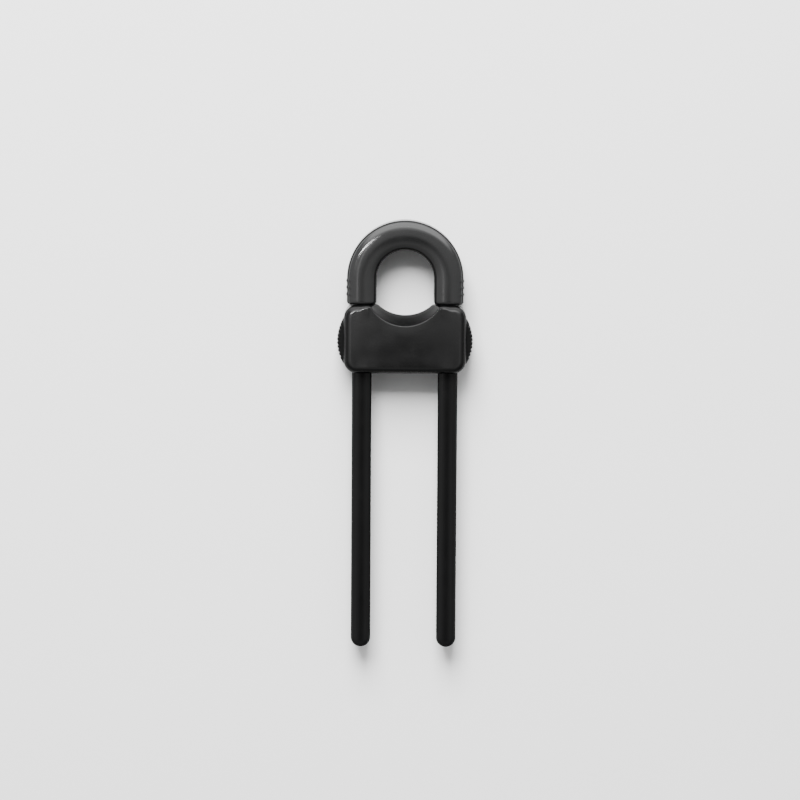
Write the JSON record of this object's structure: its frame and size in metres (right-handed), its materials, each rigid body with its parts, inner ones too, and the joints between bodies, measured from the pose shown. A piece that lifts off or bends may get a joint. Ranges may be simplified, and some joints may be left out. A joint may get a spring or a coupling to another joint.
{
  "type": "cabinet safety lock",
  "caption": "Sliding cabinet safety lock: a U-shaped bar with ratchet legs, closed by a slider that two spring-loaded squeeze buttons release.",
  "frame": {"origin": "middle of the lock's bounding box, on the surface that its back lies on", "axes": "+Y from the tips of the legs to the bow, +Z from the back to the front, +X across, to the right of someone who looks at the front"},
  "size_m": [0.0624, 0.198, 0.023],
  "materials": {
    "bar": "satin",
    "housing": "satin",
    "latch": "satin",
    "grip": "matte",
    "spring": "satin",
    "screw": "satin"
  },
  "bodies": {
    "bar": {"u_bar": "bar"},
    "slider": {"housing_front": "housing", "housing_back": "housing", "housing_screws": "screw", "left_spring": "spring", "right_spring": "spring"},
    "left_button": {"left_latch": "latch", "left_grip": "grip"},
    "right_button": {"right_latch": "latch", "right_grip": "grip"}
  },
  "joints": [
    {"name": "slider_slide", "type": "slide", "parent": "bar", "child": "slider", "axis": [0, -1, 0], "range_m": [0, 0.168]},
    {"name": "left_press", "type": "slide", "parent": "slider", "child": "left_button", "axis": [1, 0, 0], "range_m": [0, 0.0018], "stiffness_N_per_m": 1000, "springref_m": -0.002, "deforming": ["left_spring"]},
    {"name": "right_press", "type": "slide", "parent": "slider", "child": "right_button", "axis": [-1, 0, 0], "range_m": [0, 0.0018], "stiffness_N_per_m": 1000, "springref_m": -0.002, "deforming": ["right_spring"]}
  ]
}
